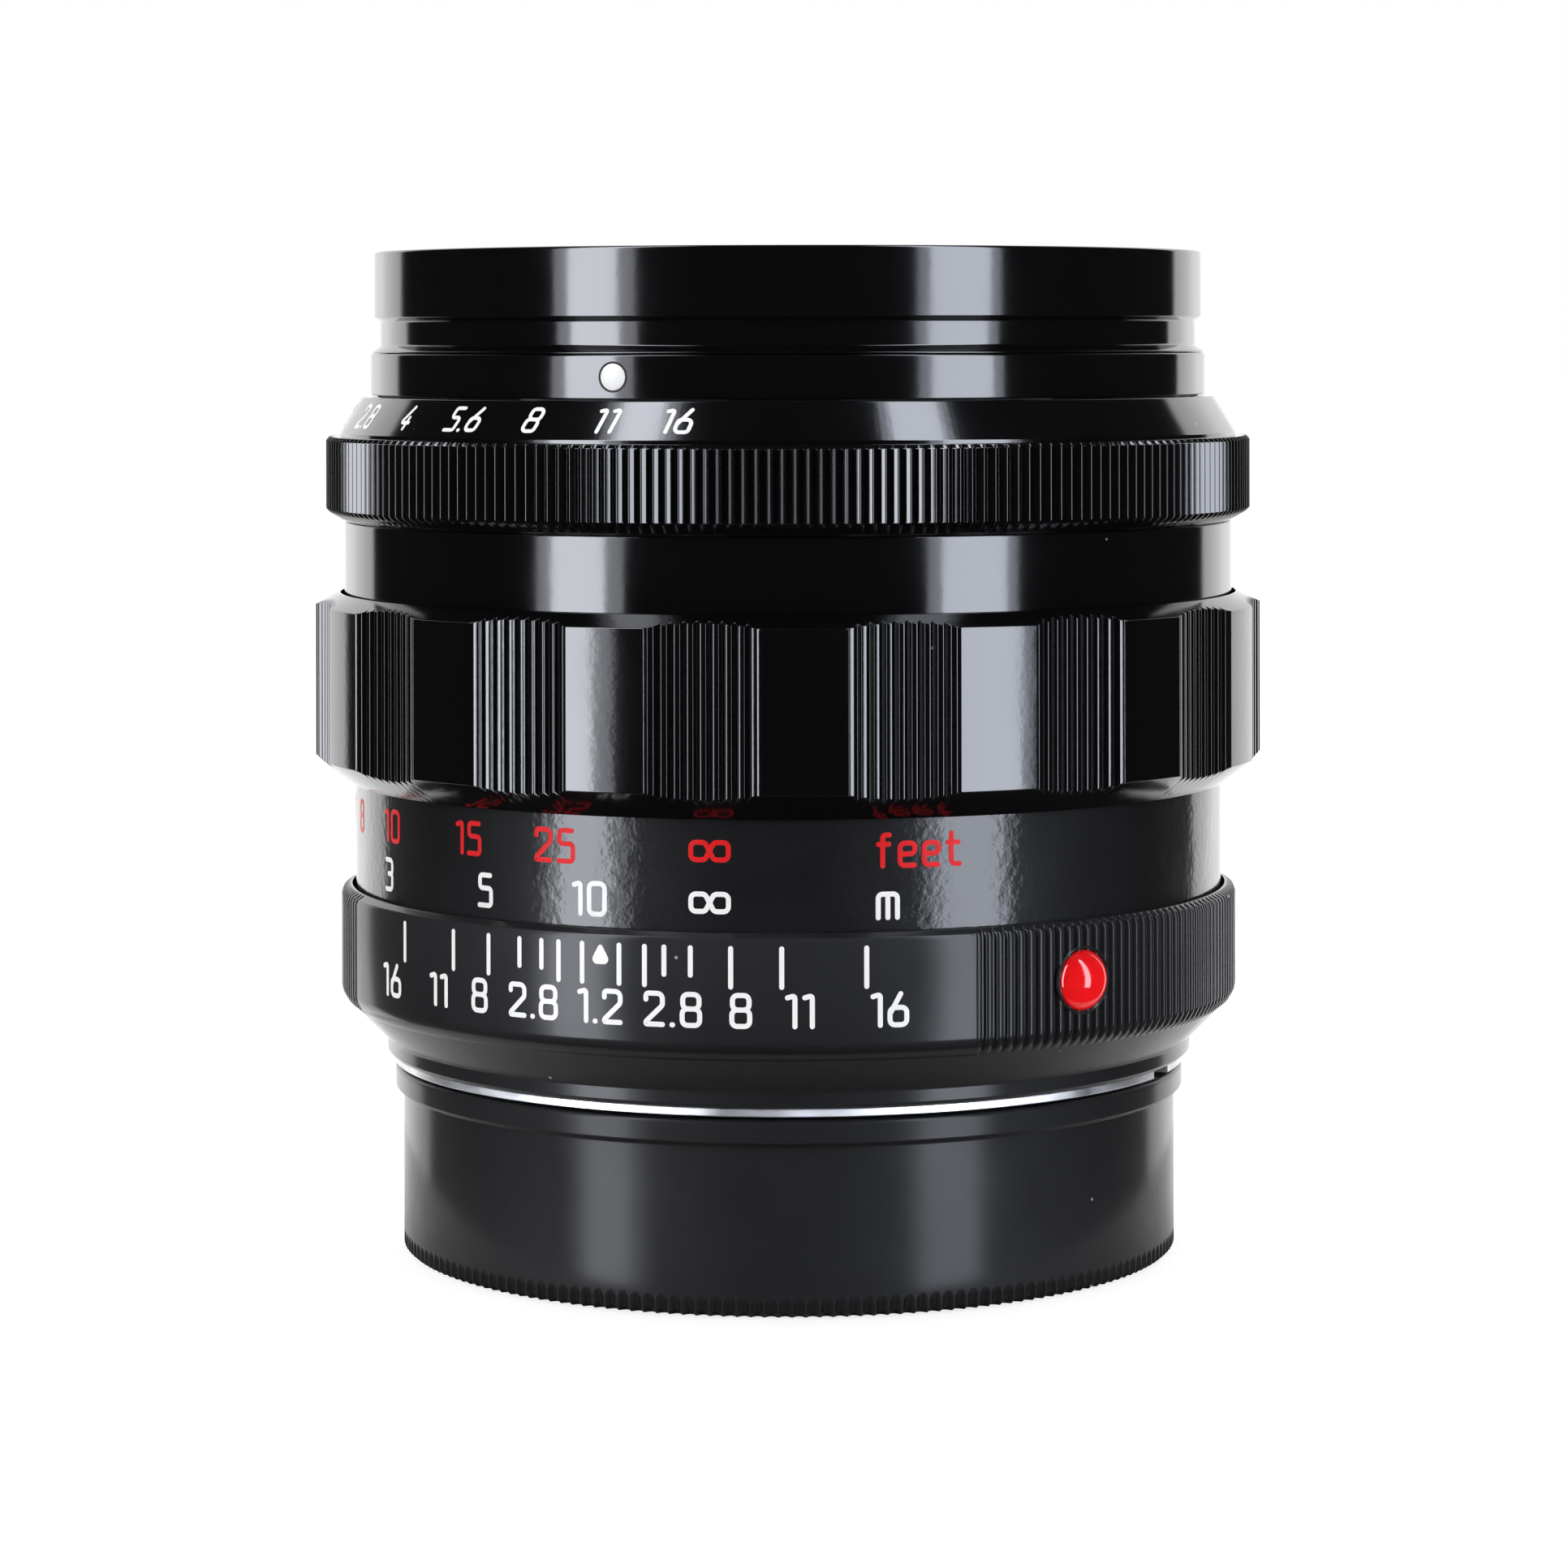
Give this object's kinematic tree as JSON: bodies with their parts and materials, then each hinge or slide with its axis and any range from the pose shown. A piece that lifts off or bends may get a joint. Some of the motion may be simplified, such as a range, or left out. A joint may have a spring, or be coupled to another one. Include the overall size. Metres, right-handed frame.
{
  "type": "prime camera lens",
  "caption": "Fast manual prime camera lens standing on its rear cap, with fluted focus ring, engraved distance and depth scales, ribbed aperture ring and bladed iris.",
  "frame": {"origin": "centre of the rear cap's flat base, on the optical axis", "axes": "+Z along the optical axis from the cap to the front rim; -Y towards the focus and aperture index"},
  "size_m": [0.061, 0.061, 0.0639],
  "materials": {
    "black_enamel": "deep glossy black enamel over brass",
    "satin_black": "satin black paint",
    "cap_plastic": "satin moulded black plastic",
    "chrome": "polished chrome plate",
    "brass": "machined brass",
    "anodised": "matt black anodised",
    "steel": "turned steel",
    "blade": "blackened spring steel",
    "red_bead": "glossy red",
    "white_paint": "matt white paint",
    "glass": "coated optical glass"
  },
  "bodies": {
    "mount": {"depth_scale_ring": "satin_black", "index_bead": "red_bead", "bayonet_flange": "chrome", "guide_tube": "anodised", "straight_key": "steel", "focus_retaining_ring": "anodised", "flange_screw_1": "steel", "flange_screw_2": "steel", "flange_screw_3": "steel", "flange_screw_4": "steel"},
    "cap": {"rear_cap": "cap_plastic"},
    "focus": {"focus_ring": "black_enamel", "distance_scale_sleeve": "satin_black", "focus_nut": "brass"},
    "head": {"head_barrel": "black_enamel", "lens_tube": "anodised", "head_helicoid": "brass", "aperture_index_ring": "black_enamel", "index_dot": "white_paint", "filter_ring": "black_enamel", "front_bezel": "anodised", "front_cell": "anodised", "front_spacer": "anodised", "rear_cell": "anodised", "doublet_retainer": "anodised", "rear_retainer": "anodised", "rangefinder_cam": "brass", "iris_base": "anodised", "click_ball": "steel", "click_spring": "steel", "glass_element_1": "glass", "glass_element_2": "glass", "glass_element_3": "glass", "glass_element_4": "glass", "glass_element_5": "glass", "glass_element_6": "glass"},
    "aperture": {"aperture_ring": "black_enamel", "iris_cam_ring": "anodised", "link_pin": "steel"},
    "blade_01": {"iris_blade_01": "blade"},
    "blade_02": {"iris_blade_02": "blade"},
    "blade_03": {"iris_blade_03": "blade"},
    "blade_04": {"iris_blade_04": "blade"},
    "blade_05": {"iris_blade_05": "blade"},
    "blade_06": {"iris_blade_06": "blade"},
    "blade_07": {"iris_blade_07": "blade"},
    "blade_08": {"iris_blade_08": "blade"},
    "blade_09": {"iris_blade_09": "blade"},
    "blade_10": {"iris_blade_10": "blade"}
  },
  "joints": [
    {"name": "cap_turn", "type": "hinge", "parent": "mount", "child": "cap", "pos_m": [0, 0, 0.006], "axis": [0, 0, 1], "range_deg": [0, 45]},
    {"name": "focus_turn", "type": "hinge", "parent": "mount", "child": "focus", "pos_m": [0, 0, 0.036], "axis": [0, 0, 1], "range_deg": [-13.1, 157.6]},
    {"name": "head_slide", "type": "slide", "parent": "mount", "child": "head", "axis": [0, 0, 1], "range_m": [-0.00022, 0.00262]},
    {"name": "aperture_turn", "type": "hinge", "parent": "head", "child": "aperture", "pos_m": [0, 0, 0.05], "axis": [0, 0, 1], "range_deg": [-9.2, 83]},
    {"name": "blade_01_swing", "type": "hinge", "parent": "head", "child": "blade_01", "pos_m": [0, -0.0223, 0.04], "axis": [0, 0, 1], "range_deg": [-30.08, 3.38]},
    {"name": "blade_02_swing", "type": "hinge", "parent": "head", "child": "blade_02", "pos_m": [0.01311, -0.01804, 0.04], "axis": [0, 0, 1], "range_deg": [-30.08, 3.38]},
    {"name": "blade_03_swing", "type": "hinge", "parent": "head", "child": "blade_03", "pos_m": [0.02121, -0.00689, 0.04], "axis": [0, 0, 1], "range_deg": [-30.08, 3.38]},
    {"name": "blade_04_swing", "type": "hinge", "parent": "head", "child": "blade_04", "pos_m": [0.02121, 0.00689, 0.04], "axis": [0, 0, 1], "range_deg": [-30.08, 3.38]},
    {"name": "blade_05_swing", "type": "hinge", "parent": "head", "child": "blade_05", "pos_m": [0.01311, 0.01804, 0.04], "axis": [0, 0, 1], "range_deg": [-30.08, 3.38]},
    {"name": "blade_06_swing", "type": "hinge", "parent": "head", "child": "blade_06", "pos_m": [0, 0.0223, 0.04], "axis": [0, 0, 1], "range_deg": [-30.08, 3.38]},
    {"name": "blade_07_swing", "type": "hinge", "parent": "head", "child": "blade_07", "pos_m": [-0.01311, 0.01804, 0.04], "axis": [0, 0, 1], "range_deg": [-30.08, 3.38]},
    {"name": "blade_08_swing", "type": "hinge", "parent": "head", "child": "blade_08", "pos_m": [-0.02121, 0.00689, 0.04], "axis": [0, 0, 1], "range_deg": [-30.08, 3.38]},
    {"name": "blade_09_swing", "type": "hinge", "parent": "head", "child": "blade_09", "pos_m": [-0.02121, -0.00689, 0.04], "axis": [0, 0, 1], "range_deg": [-30.08, 3.38]},
    {"name": "blade_10_swing", "type": "hinge", "parent": "head", "child": "blade_10", "pos_m": [-0.01311, -0.01804, 0.04], "axis": [0, 0, 1], "range_deg": [-30.08, 3.38]}
  ],
  "couplings": [
    {"joint": "head_slide", "follows": "focus_turn", "m_per_rad": 0.00095175},
    {"joint": "blade_01_swing", "follows": "aperture_turn", "ratio": -0.36178},
    {"joint": "blade_02_swing", "follows": "aperture_turn", "ratio": -0.36178},
    {"joint": "blade_03_swing", "follows": "aperture_turn", "ratio": -0.36178},
    {"joint": "blade_04_swing", "follows": "aperture_turn", "ratio": -0.36178},
    {"joint": "blade_05_swing", "follows": "aperture_turn", "ratio": -0.36178},
    {"joint": "blade_06_swing", "follows": "aperture_turn", "ratio": -0.36178},
    {"joint": "blade_07_swing", "follows": "aperture_turn", "ratio": -0.36178},
    {"joint": "blade_08_swing", "follows": "aperture_turn", "ratio": -0.36178},
    {"joint": "blade_09_swing", "follows": "aperture_turn", "ratio": -0.36178},
    {"joint": "blade_10_swing", "follows": "aperture_turn", "ratio": -0.36178}
  ]
}
